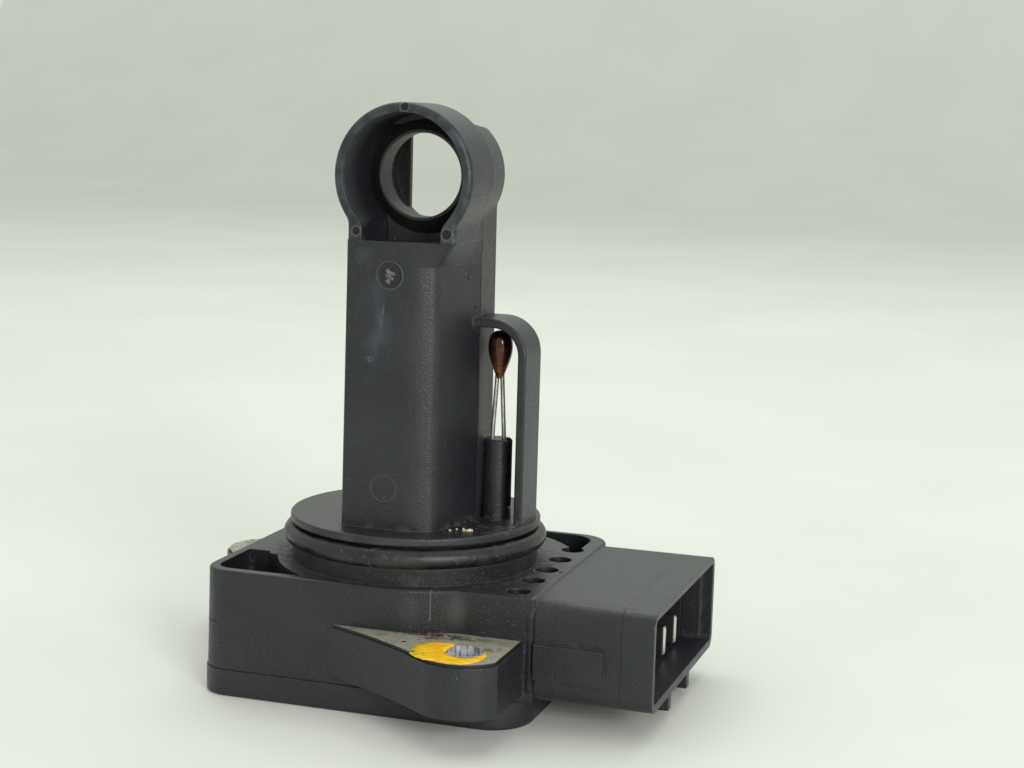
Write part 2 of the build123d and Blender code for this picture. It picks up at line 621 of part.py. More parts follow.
# ---- assembly ----
box_solid = box_block()
front_ear = ear()
foot = extrude(foot_face(box_bottom, BOX_SPREAD), amount=FLANGE_THICK)
inlay = extrude(ear_face(plate_top - PLATE_THICK, PLATE_INSET), amount=2 * PLATE_THICK)
sleeve_mid = (plate_top + ear_bottom) / 2
sleeve_height = plate_top - ear_bottom
sleeve = Pos(EAR_HOLE_X, front_hole_y, sleeve_mid) * Cylinder(SLEEVE_R, sleeve_height)
bolt_hole = Pos(EAR_HOLE_X, front_hole_y, sleeve_mid) * Cylinder(BOLT_HOLE_R, sleeve_height)
ear_body = front_ear - sleeve - inlay
plate = extrude(ear_face(plate_top - PLATE_THICK, PLATE_INSET), amount=PLATE_THICK)
plate = plate + sleeve - bolt_hole

housing = box_solid + foot + ear_body + to_rear(ear_body) + connector() + spigot()
housing += front_shell() + post() + guard()
housing -= front_pocket()
housing -= back_pocket()
housing -= cavity()
housing -= socket()
terminals = [terminal(y) for y in terminal_places]
pins = [pin(i) for i in range(4)]
leads = [lead(-1), lead(1)]
for y in terminal_places:
    housing -= Pos(CORE_HOLE_X, y, -CORE_HOLE_DEPTH / 2) * Cylinder(CORE_HOLE_R, CORE_HOLE_DEPTH)
for insert in terminals + pins + leads:
    housing -= insert


thermistor = bead() - leads[0] - leads[1]
board = block(*BOARD, board_top - BOARD_THICK, board_top)

os.makedirs("parts", exist_ok=True)
node(housing, "housing")
node(rear_cover(), "bypass_rear_cover")
node(venturi(), "venturi_insert")
node(base_cover(), "base_cover")
node(seal(), "cover_seal")
ring_z = GROOVE_BOTTOM + RING_SECTION_R
node(Pos(0, 0, ring_z) * Torus(GROOVE_R + RING_SECTION_R, RING_SECTION_R), "o_ring")
node(plate - box_solid, "front_ear_plate")
node(to_rear(plate) - box_solid, "rear_ear_plate")
for number, blade in enumerate(terminals, start=1):
    node(blade, f"terminal_{number}")
for number, wire in enumerate(pins, start=1):
    node(wire, f"sensor_pin_{number}")
node(element(HEATER_Z, PIN_SPACING / 2), "hot_wire_element")
node(element(SENSE_Z, PIN_SPACING * 1.5), "compensation_element")
node(board, "circuit_board")
node(heat_spreader(), "heat_spreader")
node(on_board(CHIP, CHIP_PLACE), "control_chip")
for number, place in enumerate(CAPACITOR_PLACES, start=1):
    node(on_board(CAPACITOR, place), f"capacitor_{number}")
node(thermistor, "thermistor_bead")
node(leads[0], "thermistor_lead_left")
node(leads[1], "thermistor_lead_right")
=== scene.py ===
import math
import random

import bmesh
import bpy
from mathutils import Matrix, Vector, noise


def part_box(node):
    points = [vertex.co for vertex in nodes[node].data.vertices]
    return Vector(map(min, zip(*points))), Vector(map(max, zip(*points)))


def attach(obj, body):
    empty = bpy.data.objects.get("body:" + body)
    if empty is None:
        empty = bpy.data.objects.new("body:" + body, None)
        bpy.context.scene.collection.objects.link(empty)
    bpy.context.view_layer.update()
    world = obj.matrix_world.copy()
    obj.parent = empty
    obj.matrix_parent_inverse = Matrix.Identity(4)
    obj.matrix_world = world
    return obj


MM = 0.001

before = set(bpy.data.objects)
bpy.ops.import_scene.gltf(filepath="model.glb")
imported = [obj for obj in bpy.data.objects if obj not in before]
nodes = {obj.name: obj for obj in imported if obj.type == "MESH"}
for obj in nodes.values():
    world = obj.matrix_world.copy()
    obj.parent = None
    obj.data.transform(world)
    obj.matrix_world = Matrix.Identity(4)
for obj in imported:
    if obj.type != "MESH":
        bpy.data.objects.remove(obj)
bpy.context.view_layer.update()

# ---- levels and places on the part, in millimetres ----
DISC_TOP = 6.0
TOWER_FACE_Y = -11.8
RING_FACE_Y = -11.6
EAR_PLATE_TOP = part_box("front_ear_plate")[1].z / MM
BLADE_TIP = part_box("terminal_1")[1].x / MM
EAR_HOLES = ((14.5, -21.35), (-28.1, 15.8))

# bore of the inlet ring and the flat top of the outlet behind it
FLOW_AXIS = (1.65, 49.45)
RING_BORE_R = 7.65
RING_BACK_Y = -3.0
OUTLET_FLAT = 6.5
WEB_OVERLAP = 0.4
WEB_THICK = 0.6

# ---- marks of moulding and wear, and places of painted sheen, in millimetres ----
EDGE_ROUNDING = 0.25
EJECTOR_MARKS = ((1.81, 57.84, 0.55), (-4.19, 42.68, 0.55), (7.52, 42.78, 0.65))
GATE = (0.36, 37.5)
GATE_R = 1.65
GATE_LUMPS = ((-0.1, 0.45, 0.45), (0.1, -0.1, 0.55), (-0.1, -0.6, 0.42), (0.4, 0.25, 0.36),
              (0.35, -0.45, 0.3))
LOWER_MARK = (0.05, 11.1)
LOWER_MARK_R = 2.0
SIDE_FACE_X = 8.4
SIDE_MARKS = ((-4.2, 37.4, 0.7), (-2.85, 33.6, 0.5))
# x and brightness of the painted sheen on the box's front
PAINTED_SHEEN_PLACES = ((5.4, 0.028), (11.2, 0.05))
PITS = ((6.54, -20.44, 0.42), (11.51, -17.5, 0.35), (7.9, -18.9, 0.2))

# paint round the front ear's hole: angle in degrees, inner and outer reach
PAINT_SWEEP = ((131, 3.0, 3.5), (150, 2.4, 4.5), (165, 2.35, 5.4), (180, 2.35, 6.0), (195, 2.35, 6.4),
               (210, 2.4, 6.4), (225, 2.5, 6.1), (240, 2.5, 5.8), (255, 2.6, 5.65), (270, 2.65, 5.55),
               (285, 2.75, 5.4), (300, 2.9, 5.0), (315, 2.9, 4.4), (330, 2.85, 3.7), (345, 2.75, 3.2),
               (359, 2.6, 2.8))
PAINT_SINK = 0.01
PAINT_THICK = 0.07
PAINT_SEED = 1795469187

# heaps of crumbs: x, y, level, radius kept clear, spread and count
SAND_SIZE = 0.16
SAND_HEAPS = ((10.3, -8.3, DISC_TOP + 0.1, 0, 0.28, 9), (8.9, -8.5, DISC_TOP + 0.05, 0, 0.9, 5))
DIRT_SIZE = 0.11
DIRT_HEAPS = ((14.5, -4.3, DISC_TOP, 0, 0.4, 14), (8.0, -9.4, DISC_TOP, 0, 1.3, 14),
              (17.9, -11.7, 0.0, 1.5, 0.25, 14), (17.9, -5.85, 0.0, 1.5, 0.35, 18),
              (17.9, 0.0, 0.0, 1.5, 0.35, 20), (-19.5, -14.0, -7.45, 0, 0.8, 9))

# ---- stage, in metres, and camera, in millimetres ----
FLOOR_SIDE = 0.8
FLOOR_NEAR = -0.9
SWEEP_START = 0.9
SWEEP_R = 0.3
SWEEP_STEPS = 8
BACKDROP_TOP = 1.2
CAMERA_PLACE = (87.100, -229.645, 60.502)
CAMERA_FORWARD = (-0.3052, 0.9402, -0.1515)
CAMERA_UP = (-0.0736, 0.1353, 0.9881)
CAMERA_LENS = 68.12
ROOM_COLOUR = (0.80, 0.82, 0.79, 1.0)
ROOM_LIGHT = 0.85

# ---- tones shared by several finishes ----
DUST = (0.052, 0.049, 0.042)
PALE_SPECK = (0.26, 0.26, 0.25)


# ---- one procedural finish, built up coat by coat ----
class Finish:
    """Material whose colour, roughness and relief are laid on in coats, each through a mask from 0 to 1."""

    def __init__(self, name, colour, roughness, metallic=0.0):
        self.material = bpy.data.materials.new(name)
        self.material.use_nodes = True
        self.tree = self.material.node_tree
        self.shader = self.tree.nodes["Principled BSDF"]
        self.shader.inputs["Base Color"].default_value = (*colour, 1.0)
        self.shader.inputs["Roughness"].default_value = roughness
        self.shader.inputs["Metallic"].default_value = metallic
        self.place = self.tree.nodes.new("ShaderNodeTexCoord").outputs["Object"]
        self.colour = colour
        self.roughness = roughness
        self.height = None
        self.edge_normal = None

    def node(self, kind, **values):
        """New node. A value is a property, an input's setting or a socket to link; i0 is the first input."""
        made = self.tree.nodes.new(kind)
        for key, value in values.items():
            if hasattr(made, key):
                setattr(made, key, value)
                continue
            self.feed(made.inputs[int(key[1:]) if key[1:].isdigit() else key.replace("_", " ")], value)
        return made

    def feed(self, socket, value):
        """Link a socket, or set a value; None leaves the input as it is."""
        if isinstance(value, bpy.types.NodeSocket):
            self.tree.links.new(value, socket)
        elif value is not None:
            socket.default_value = value

    def reckon(self, operation, first, second):
        return self.node("ShaderNodeMath", operation=operation, i0=first, i1=second).outputs[0]

    def both(self, first, second):
        return self.reckon("MULTIPLY", first, second)

    def either(self, first, second):
        return self.reckon("MAXIMUM", first, second)

    def without(self, first, second):
        """First mask where the second one is absent."""
        return self.both(first, self.reckon("SUBTRACT", 1.0, second))

    def ramp(self, value, low, high):
        """Mask that goes from 0 at low to 1 at high; high may be the smaller."""
        step = self.node("ShaderNodeMapRange", interpolation_type="SMOOTHSTEP")
        self.feed(step.inputs["Value"], value)
        step.inputs["From Min"].default_value = low
        step.inputs["From Max"].default_value = high
        return step.outputs["Result"]

    def clouds(self, size, low=0.4, high=0.6, detail=4.0, stretch=(1, 1, 1), warp=0.0):
        """Cloudy patches; size is that of one patch in millimetres."""
        mapping = self.node("ShaderNodeMapping", Vector=self.place, Scale=stretch)
        cloud = self.node("ShaderNodeTexNoise", Vector=mapping.outputs[0], Scale=1 / (size * MM),
                          Detail=detail, Distortion=warp)
        return self.ramp(cloud.outputs["Fac"], low, high)

    def specks(self, spacing, radius):
        """Small round specks, radius as a share of their spacing in millimetres."""
        cells = self.node("ShaderNodeTexVoronoi", Vector=self.place, Scale=1 / (spacing * MM))
        return self.ramp(cells.outputs["Distance"], radius, 0.5 * radius)

    def spot(self, place, size, edge=0.2, turn=(0, 0, 0)):
        """Round or oval spot; place and half sizes in millimetres, turn in degrees."""
        sizes = (size, size, size) if isinstance(size, (int, float)) else size
        mapping = self.node("ShaderNodeMapping", vector_type="TEXTURE", Vector=self.place,
                            Location=[MM * value for value in place],
                            Rotation=[math.radians(value) for value in turn],
                            Scale=[MM * value for value in sizes])
        away = self.node("ShaderNodeVectorMath", operation="LENGTH", i0=mapping.outputs[0])
        return self.ramp(away.outputs["Value"], 1.0, 1.0 - edge)

    def ring(self, place, radius, width):
        """Thin ring on a face that looks along Y."""
        whole = self.spot(place, (radius, 0.8, radius), width / radius)
        inner = self.spot(place, (radius - width, 1.6, radius - width), width / radius)
        return self.without(whole, inner)

    def level(self, axis):
        """Place along an axis, in millimetres."""
        parts = self.node("ShaderNodeSeparateXYZ", i0=self.place)
        return self.reckon("MULTIPLY", parts.outputs[axis], 1 / MM)

    def line(self, axis, at, width):
        """Thin line where the place along an axis has one value."""
        away = self.reckon("ABSOLUTE", self.reckon("SUBTRACT", self.level(axis), at), 0.0)
        return self.ramp(away, width, 0.4 * width)

    def between(self, axis, low, high, soft=0.3):
        """Band between two places along an axis, fading out over soft millimetres."""
        here = self.level(axis)
        return self.both(self.ramp(here, low - soft, low), self.ramp(here, high + soft, high))

    def upward(self, low=0.6, high=0.95):
        """Surfaces that look up, where dust settles and where tops get painted lighter."""
        normal = self.node("ShaderNodeNewGeometry").outputs["Normal"]
        parts = self.node("ShaderNodeSeparateXYZ", i0=normal)
        return self.ramp(parts.outputs["Z"], low, high)

    def corners(self, reach):
        """Inner corners and crevices, reach in millimetres."""
        hidden = self.node("ShaderNodeAmbientOcclusion", samples=6, only_local=True, Distance=reach * MM)
        return self.ramp(hidden.outputs["AO"], 0.95, 0.55)

    def round_edges(self, radius):
        """Soft edges, and a mask of them for the wear; radius in millimetres."""
        soft = self.node("ShaderNodeBevel", samples=6, Radius=radius * MM)
        self.edge_normal = soft.outputs["Normal"]
        sharp = self.node("ShaderNodeNewGeometry").outputs["Normal"]
        likeness = self.node("ShaderNodeVectorMath", operation="DOT_PRODUCT", i0=self.edge_normal, i1=sharp)
        return self.ramp(likeness.outputs["Value"], 0.985, 0.9)

    def coat(self, mask, colour=None, roughness=None):
        """Lay a colour, a roughness or both through a mask."""
        if colour is not None:
            mix = self.node("ShaderNodeMix", data_type="RGBA")
            self.feed(mix.inputs[0], mask)
            below = self.colour if isinstance(self.colour, bpy.types.NodeSocket) else (*self.colour, 1.0)
            self.feed(mix.inputs[6], below)
            self.feed(mix.inputs[7], (*colour, 1.0))
            self.colour = mix.outputs[2]
        if roughness is not None:
            mix = self.node("ShaderNodeMix", data_type="FLOAT")
            self.feed(mix.inputs[0], mask)
            self.feed(mix.inputs[2], self.roughness)
            self.feed(mix.inputs[3], roughness)
            self.roughness = mix.outputs[0]

    def raise_by(self, mask, height):
        """Raise the surface through a mask; height in millimetres, below zero to sink it."""
        step = self.both(mask, height * MM)
        self.height = step if self.height is None else self.reckon("ADD", self.height, step)

    def done(self):
        """Link what was laid on and return the material."""
        for name, value in (("Base Color", self.colour), ("Roughness", self.roughness)):
            if isinstance(value, bpy.types.NodeSocket):
                self.tree.links.new(value, self.shader.inputs[name])
        if self.height is not None:
            bump = self.node("ShaderNodeBump", Strength=1.0, Distance=1.0, Height=self.height)
            self.feed(bump.inputs["Normal"], self.edge_normal)
            self.tree.links.new(bump.outputs["Normal"], self.shader.inputs["Normal"])
        return self.material


# ---- finishes ----
def moulded_plastic(name, dark, light, roughness):
    """Black glass-filled plastic with spark-eroded grain, dusty corners, rubbed edges and painted light on
    its tops.
    """
    plastic = Finish(name, dark, roughness)
    worn = plastic.round_edges(EDGE_ROUNDING)
    plastic.coat(plastic.clouds(9.0, 0.35, 0.7, 5.0), light, roughness + 0.05)
    plastic.coat(plastic.clouds(0.2, 0.48, 0.75, 2.0, (1, 1, 0.6)), [1.5 * value for value in light],
                 roughness - 0.1)
    # painted light: faces that look up are painted lighter, as if lit from above
    plastic.coat(plastic.upward(0.35, 1.0), [1.4 * value for value in light], roughness - 0.06)
    plastic.coat(plastic.both(worn, plastic.clouds(1.2, 0.3, 0.6)), [2.0 * value for value in light],
                 roughness - 0.12)
    plastic.coat(plastic.both(plastic.corners(1.2), plastic.clouds(1.1, 0.45, 0.65, 5.0)), DUST, 0.9)
    plastic.coat(plastic.both(plastic.specks(1.3, 0.06), plastic.clouds(7.0, 0.5, 0.6)), PALE_SPECK, 0.8)
    plastic.raise_by(plastic.clouds(0.22, 0.2, 0.8, 2.0), 0.02)
    plastic.raise_by(plastic.clouds(0.5, 0.2, 0.8, 2.0, (1, 1, 0.15)), 0.012)
    plastic.raise_by(plastic.clouds(3.0, 0.2, 0.8, 2.0), 0.03)
    return plastic


def bare_metal(name, dark, light, roughness):
    """Bare metal with a slightly uneven tone."""
    metal = Finish(name, light, roughness, 1.0)
    metal.coat(metal.clouds(2.0, 0.35, 0.65, 5.0), dark, roughness + 0.15)
    metal.raise_by(metal.clouds(0.25, 0.2, 0.8, 3.0), 0.006)
    return metal


def even_coating(name, dark, light, roughness):
    """Smooth coating with a faint variation of tone and sheen."""
    coating = Finish(name, dark, roughness)
    coating.coat(coating.clouds(2.5, 0.35, 0.65), light, roughness + 0.05)
    coating.raise_by(coating.clouds(0.8, 0.2, 0.8, 2.0), 0.005)
    return coating


def paint_tower_sheen_and_marks(black):
    """Painted bluish sheen in smeared patches on the tower's face, a pale streak and a scuff, and a bluish
    band on the ring's front.
    """
    # painted sheen: bluish patches stand in for light on the left of the tower's face
    tower_sheen = black.either(black.spot((-1.6, TOWER_FACE_Y, 31.0), (3.0, 1.5, 8.5), 0.8),
                         black.spot((-2.9, TOWER_FACE_Y, 39.5), (1.6, 1.5, 1.6), 0.8))
    black.coat(black.both(tower_sheen, black.clouds(2.2, 0.4, 0.66, 6.0, (1, 1, 0.5))), (0.03, 0.037, 0.05), 0.5)
    streak = black.spot((-0.55, TOWER_FACE_Y, 32.4), (0.3, 1.5, 2.4), 0.8, (0, 9, 0))
    black.coat(black.both(streak, black.clouds(0.8, 0.3, 0.6)), (0.055, 0.068, 0.088), 0.55)
    scuff = black.spot((-2.1, TOWER_FACE_Y, 27.1), (0.9, 1.5, 0.5), 0.7)
    black.coat(black.both(scuff, black.clouds(0.5, 0.4, 0.6)), (0.06, 0.075, 0.1), 0.55)
    rim = black.both(black.between(1, -12.2, -10.9), black.between(2, 42.0, 60.0))
    black.coat(black.both(rim, black.clouds(2.0, 0.4, 0.62, 6.0)), (0.034, 0.040, 0.050), 0.42)


def mark_the_moulding(black):
    """Ejector marks with their pin hollows painted near-black as shade, gate recess, lower ring mark and
    side marks of the tower.
    """
    for x, z, radius in EJECTOR_MARKS:
        black.coat(black.ring((x, RING_FACE_Y, z), radius + 0.25, 0.25), (0.06, 0.065, 0.075), 0.4)
        # painted shade: the sunk pin hollows are painted near-black
        pin = black.spot((x, RING_FACE_Y, z), (radius, 0.8, radius), 0.3)
        black.coat(pin, (0.002, 0.002, 0.0025), 0.8)
        black.raise_by(pin, -0.2)
    gate = (GATE[0], TOWER_FACE_Y, GATE[1])
    recess = black.spot(gate, (GATE_R, 0.8, GATE_R), 0.12)
    black.coat(recess, (0.006, 0.0065, 0.0075), 0.32)
    black.raise_by(recess, -0.3)
    rim = black.ring(gate, GATE_R + 0.25, 0.3)
    black.coat(rim, (0.05, 0.054, 0.06), 0.35)
    black.raise_by(rim, 0.08)
    lower = black.ring((LOWER_MARK[0], TOWER_FACE_Y, LOWER_MARK[1]), LOWER_MARK_R, 0.35)
    black.coat(lower, (0.026, 0.028, 0.032), 0.35)
    black.raise_by(lower, 0.06)
    for y, z, radius in SIDE_MARKS:
        place = (SIDE_FACE_X, y, z)
        black.raise_by(black.spot(place, (1.6, radius, radius), 0.3), 0.15)
        black.coat(black.spot(place, (1.6, 0.5 * radius, 0.5 * radius), 0.3), (0.004, 0.004, 0.004))


def shade_and_soil_the_spigot(black):
    """Painted shadow over the groove under the O-ring, grime on the mounting face round it and dust on the
    disc.
    """
    # painted shadow: the band over the groove, under the O-ring, is painted near-black
    ring_shadow = black.both(black.between(2, 0.1, 2.3), black.spot((0, 0, 1.0), (16.6, 16.6, 4.0), 0.03))
    black.coat(black.both(ring_shadow, black.clouds(4.0, 0.3, 0.5)), (0.003, 0.003, 0.0035), 0.7)
    around = black.without(black.spot((0, 0, 1.0), (22.5, 20.0, 3.0), 0.3),
                           black.spot((0, 0, 6.5), (18, 18, 3.5)))
    black.coat(around, None, 0.58)
    grime = black.both(black.both(around, black.upward()), black.clouds(1.0, 0.42, 0.62, 6.0))
    black.coat(grime, DUST, 0.9)
    black.coat(black.both(around, black.specks(0.4, 0.2)), (0.13, 0.12, 0.10), 0.9)
    settled = black.both(black.spot((12.0, -4.0, DISC_TOP), (6.0, 6.0, 1.5), 0.6),
                         black.clouds(0.8, 0.5, 0.62, 6.0))
    black.coat(settled, (0.07, 0.062, 0.045), 0.9)


def front_glints_sheen_and_scratch(black):
    """Painted glints of fibre ends, painted sheen, a painted highlight on the disc's front edge, and a
    scratch at the front.
    """
    # painted glints: pale specks where fibre ends catch the light
    painted_glints = black.both(black.both(black.between(0, 6.0, 20.0, 5.0), black.between(1, -17.5, -12.0)),
                         black.between(2, -8.0, -0.5))
    black.coat(black.both(painted_glints, black.specks(0.4, 0.13)), (0.2, 0.2, 0.22), 0.3)
    # painted sheen: lighter, glossier spots on the curved jog of the box's front
    for x, strength in PAINTED_SHEEN_PLACES:
        sheen = black.spot((x, -15.6, -2.4), (1.9, 2.5, 3.6), 0.85)
        black.coat(sheen, (strength, strength, 1.08 * strength), 0.3)
    # painted highlight: a lighter band along the disc's front edge
    lip_highlight = black.both(black.spot((1.5, -16.0, 5.5), (10.0, 2.5, 0.9), 0.6), black.clouds(3.0, 0.3, 0.5))
    black.coat(lip_highlight, (0.03, 0.031, 0.034), 0.28)
    scratch = black.both(black.line(0, 8.05, 0.09), black.between(2, -3.7, -0.1))
    black.coat(black.both(scratch, black.between(1, -17.5, -13.0)), (0.09, 0.09, 0.095), 0.4)


def draw_witness_lines(black):
    """Fine lines that the parts of the mould left on the box, the connector and the ring."""
    seam = black.both(black.line(2, -6.75, 0.14), black.between(0, -23.0, -19.8))
    black.coat(seam, (0.004, 0.004, 0.004), 0.6)
    black.raise_by(seam, -0.08)
    black.raise_by(black.both(black.line(0, 31.8, 0.1), black.between(2, -13.0, 0.5)), -0.06)
    black.raise_by(black.both(black.line(2, 47.5, 0.12), black.between(0, 6.0, 12.0)), -0.06)


def housing_finish():
    """The housing: moulded black, then painted sheen, highlights and shade, and what wear and the mould have
    left on it, in this order.
    """
    black = moulded_plastic("housing_black", (0.009, 0.010, 0.0125), (0.0145, 0.0158, 0.0195), 0.4)
    paint_tower_sheen_and_marks(black)
    mark_the_moulding(black)
    shade_and_soil_the_spigot(black)
    front_glints_sheen_and_scratch(black)
    draw_witness_lines(black)
    return black.done()


def ear_plate_finish():
    """Zinc-plated inlay that has gone dull grey, with brown stains and dark pits."""
    plate = Finish("ear_plate_zinc", (0.40, 0.385, 0.31), 0.5, 0.3)
    plate.coat(plate.clouds(1.6, 0.35, 0.65, 5.0), (0.30, 0.29, 0.23), 0.62)
    plate.coat(plate.clouds(0.4, 0.55, 0.7, 4.0), (0.55, 0.54, 0.46), 0.45)
    plate.coat(plate.clouds(2.3, 0.58, 0.7, 6.0, warp=0.6), (0.17, 0.12, 0.07), 0.75)
    wall_side = plate.both(plate.spot((7.5, -16.4, EAR_PLATE_TOP), (14.0, 1.7, 1.0), 0.8),
                           plate.clouds(0.7, 0.36, 0.56, 5.0))
    plate.coat(wall_side, (0.055, 0.034, 0.022), 0.85)
    rust = plate.either(plate.spot((8.65, -17.9, EAR_PLATE_TOP), (1.6, 0.7, 1.0), 0.7),
                        plate.spot((3.1, -18.7, EAR_PLATE_TOP), (1.0, 0.5, 1.0), 0.7))
    plate.coat(plate.both(rust, plate.clouds(0.4, 0.35, 0.6)), (0.17, 0.07, 0.028), 0.85)
    for x, y, radius in PITS:
        pit = plate.spot((x, y, EAR_PLATE_TOP), (radius, 0.8 * radius, 0.6), 0.5)
        plate.coat(pit, (0.015, 0.014, 0.013), 0.8)
        plate.raise_by(pit, -0.1)
    plate.coat(plate.without(1.0, plate.upward(0.2, 0.6)), (0.02, 0.021, 0.021), 0.45)
    for x, y in EAR_HOLES:
        wall = plate.spot((x, y, EAR_PLATE_TOP - 2.0), (2.75, 2.75, 4.5), 0.04)
        plate.coat(wall, (0.62, 0.63, 0.67), 0.28)
        plate.coat(plate.both(wall, plate.clouds(0.8, 0.5, 0.6, 4.0, (2, 2, 0.5))), (0.22, 0.22, 0.23), 0.4)
    plate.raise_by(plate.clouds(0.35, 0.2, 0.8, 4.0), 0.015)
    return plate.done()


def rubber_finish():
    """O-ring: greased black rubber with dust stuck to it."""
    rubber = Finish("ring_rubber", (0.006, 0.006, 0.007), 0.34)
    rubber.coat(rubber.clouds(3.0, 0.4, 0.65, 4.0), (0.018, 0.018, 0.017), 0.5)
    rubber.coat(rubber.both(rubber.clouds(0.6, 0.55, 0.7, 5.0), rubber.clouds(5.0, 0.45, 0.6)),
                (0.06, 0.057, 0.048), 0.8)
    rubber.coat(rubber.both(rubber.specks(1.1, 0.08), rubber.clouds(4.0, 0.5, 0.6)), PALE_SPECK, 0.8)
    rubber.raise_by(rubber.clouds(0.5, 0.2, 0.8, 3.0), 0.01)
    return rubber.done()


def bead_finish():
    """Dipped lacquer, dark and glossy, thin and coppery where it runs down on to the leads."""
    bead = Finish("bead_lacquer", (0.007, 0.003, 0.0025), 0.12)
    bead.coat(bead.ramp(bead.level(2), 27.4, 24.3), (0.13, 0.042, 0.012), 0.16)
    blush = bead.both(bead.clouds(1.2, 0.45, 0.65, 3.0), bead.between(2, 24.5, 29.2))
    bead.coat(blush, (0.026, 0.009, 0.006), 0.2)
    bead.raise_by(bead.clouds(1.0, 0.2, 0.8, 2.0), 0.03)
    bead.shader.inputs["Specular Tint"].default_value = (1.0, 0.6, 0.48, 1.0)
    bead.shader.inputs["IOR"].default_value = 1.7
    return bead.done()


def blade_finish():
    """Tinned blades, painted dark along their flanks as shade, bright at the rubbed tips."""
    # painted shade: the whole blade gets a dark tin colour, and only the tips are lifted to bright tin
    blade = bare_metal("blade_tin", (0.055, 0.053, 0.048), (0.10, 0.097, 0.09), 0.45)
    tips = blade.ramp(blade.level(0), BLADE_TIP - 0.5, BLADE_TIP - 0.15)
    blade.coat(tips, (0.66, 0.65, 0.62), 0.3)
    return blade.done()


def paint_finish():
    """Yellow marking paint, brushed on thick, with a greenish edge towards the ear's tip."""
    paint = Finish("marking_paint", (1.0, 0.64, 0.004), 0.5)
    paint.coat(paint.clouds(1.4, 0.45, 0.6, 4.0, (1, 2.5, 1)), (0.94, 0.48, 0.003), 0.42)
    green_edge = paint.both(paint.spot((9.3, -24.4, EAR_PLATE_TOP), (1.9, 1.6, 1.0), 0.7),
                            paint.clouds(0.7, 0.42, 0.56))
    paint.coat(green_edge, (0.26, 0.25, 0.01), 0.6)
    paint.raise_by(paint.clouds(0.6, 0.2, 0.8, 3.0, (1, 3, 1)), 0.03)
    return paint.done()


def torn_finish():
    """Grey, paler where the gate has torn."""
    grey = Finish("gate_break", (0.05, 0.052, 0.056), 0.4)
    grey.coat(grey.clouds(0.3, 0.4, 0.6), (0.14, 0.145, 0.15), 0.3)
    grey.raise_by(grey.clouds(0.2, 0.2, 0.8, 3.0), 0.03)
    return grey.done()


def two_toned(name, colour, roughness, patch, other, other_roughness):
    """Plain finish with patches of a second tone, for crumbs."""
    crumb = Finish(name, colour, roughness)
    crumb.coat(crumb.clouds(patch, 0.4, 0.6), other, other_roughness)
    return crumb.done()


cover_black = moulded_plastic("cover_black", (0.017, 0.0185, 0.018), (0.028, 0.031, 0.030), 0.48).done()
insert_black = moulded_plastic("insert_black", (0.011, 0.011, 0.011), (0.019, 0.019, 0.018), 0.5).done()
base_black = moulded_plastic("base_black", (0.0095, 0.010, 0.0115), (0.017, 0.0175, 0.0195), 0.4).done()
seal_rubber = even_coating("seal_rubber", (0.018, 0.018, 0.018), (0.03, 0.03, 0.03), 0.6).done()
wire_silver = bare_metal("wire_silver", (0.36, 0.34, 0.30), (0.62, 0.60, 0.56), 0.3).done()
element_ceramic = even_coating("element_ceramic", (0.6, 0.58, 0.53), (0.78, 0.76, 0.71), 0.35).done()
board_green = even_coating("board_green", (0.02, 0.1, 0.045), (0.035, 0.16, 0.075), 0.3).done()
spreader_metal = bare_metal("spreader_metal", (0.5, 0.5, 0.51), (0.68, 0.68, 0.69), 0.4).done()
chip_black = even_coating("chip_black", (0.015, 0.015, 0.015), (0.03, 0.03, 0.03), 0.5).done()
capacitor_brown = even_coating("capacitor_brown", (0.3, 0.22, 0.14), (0.42, 0.32, 0.22), 0.4).done()

# by a part of the node's name
FINISHES = {
    "housing": housing_finish(),
    "bypass_rear_cover": cover_black,
    "venturi_insert": insert_black,
    "base_cover": base_black,
    "cover_seal": seal_rubber,
    "o_ring": rubber_finish(),
    "ear_plate": ear_plate_finish(),
    "terminal": blade_finish(),
    "sensor_pin": wire_silver,
    "thermistor_lead": wire_silver,
    "thermistor_bead": bead_finish(),
    "element": element_ceramic,
    "circuit_board": board_green,
    "heat_spreader": spreader_metal,
    "control_chip": chip_black,
    "capacitor": capacitor_brown,
}
for name, piece in nodes.items():
    for part, finish in FINISHES.items():
        if part in name:
            piece.data.materials.clear()
            piece.data.materials.append(finish)


# ---- pieces added to the solids ----
def new_vertices(made):
    """Vertices among what an extrusion has made."""
    return [item for item in made if isinstance(item, bmesh.types.BMVert)]


def smooth_faces(mesh):
    for face in mesh.polygons:
        face.use_smooth = True


def object_from(shape, name):
    """Object in the scene from a bmesh whose places are in metres."""
    mesh = bpy.data.meshes.new(name)
    shape.to_mesh(mesh)
    shape.free()
    made = bpy.data.objects.new(name, mesh)
    bpy.context.scene.collection.objects.link(made)
    return made


def add_piece(name, shape, finish, smooth=True):
    """Piece that rides on the part."""
    bmesh.ops.recalc_face_normals(shape, faces=shape.faces)
    piece = object_from(shape, name)
    piece.data.materials.append(finish)
    if smooth:
        smooth_faces(piece.data)
    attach(piece, "root")


